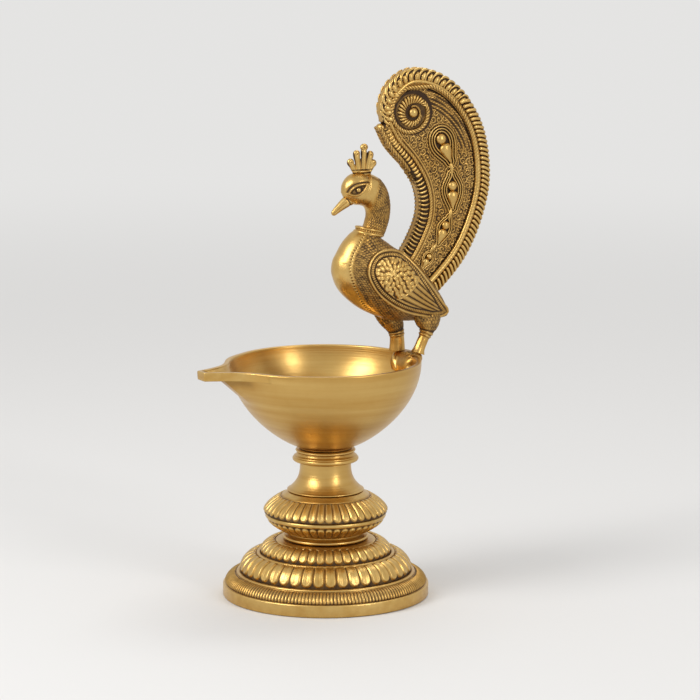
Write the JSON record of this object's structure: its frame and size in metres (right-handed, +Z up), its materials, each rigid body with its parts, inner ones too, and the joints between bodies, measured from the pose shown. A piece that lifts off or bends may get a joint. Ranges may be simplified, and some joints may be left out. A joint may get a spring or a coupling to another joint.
{
  "type": "brass oil lamp",
  "caption": "Standing brass oil lamp: turned tiered foot, knop and stem, shallow bowl with wick spout, and a peacock with curled tail perched on the rim.",
  "frame": {"origin": "centre of the lamp's bounding box, on the plane that the foot stands on", "axes": "+Z up, -X where the spout points, +X the side where the bird stands and its tail rises"},
  "size_m": [0.14, 0.088, 0.2239],
  "materials": {
    "brushed_brass": "satin, spun round the axis",
    "carved_brass": "antiqued, dark in the recesses",
    "polished_brass": "polished",
    "plated_steel": "zinc plated"
  },
  "bodies": {
    "stand": {"foot": "carved_brass", "tie_washer": "plated_steel", "tie_nut": "plated_steel", "tie_rod": "plated_steel", "knop": "carved_brass", "stem": "brushed_brass", "stem_collar": "brushed_brass"},
    "lamp_head": {"bowl": "brushed_brass", "bowl_stud": "plated_steel", "perch": "carved_brass", "near_foot_pin": "plated_steel", "far_foot_pin": "plated_steel", "near_leg": "carved_brass", "far_leg": "carved_brass", "bird_body": "polished_brass", "near_wing": "carved_brass", "far_wing": "carved_brass", "neck_band": "carved_brass", "bird_head": "polished_brass", "beak": "polished_brass", "crest": "carved_brass", "tail": "carved_brass"}
  },
  "joints": [
    {"name": "bowl_lift", "type": "slide", "parent": "stand", "child": "lamp_head", "axis": [0, 0, 1], "range_m": [0, 0.012]}
  ]
}
